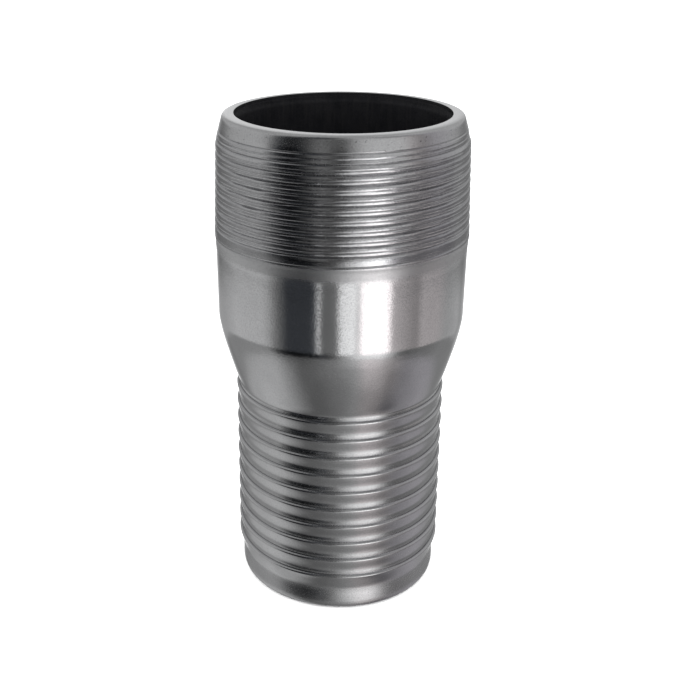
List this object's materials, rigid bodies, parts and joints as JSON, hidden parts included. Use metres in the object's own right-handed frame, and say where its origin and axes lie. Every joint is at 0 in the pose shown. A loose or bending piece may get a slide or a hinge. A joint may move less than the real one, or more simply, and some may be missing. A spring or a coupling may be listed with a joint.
{
  "type": "pipe nipple",
  "caption": "Combination pipe nipple: male taper pipe thread at the top, plain barrel, swaged shoulder and a ringed hose shank with a through bore.",
  "frame": {"origin": "centre of the hose shank's end face, which the nipple stands on", "axes": "+Z along the pipe's axis, from the hose shank to the threaded end; X and Y are any two directions square to it"},
  "size_m": [0.0604, 0.0604, 0.1183],
  "materials": {
    "plated_steel": "bright plated steel, turned, fine speckle"
  },
  "bodies": {
    "root": {"nipple_body": "plated_steel"}
  },
  "joints": []
}
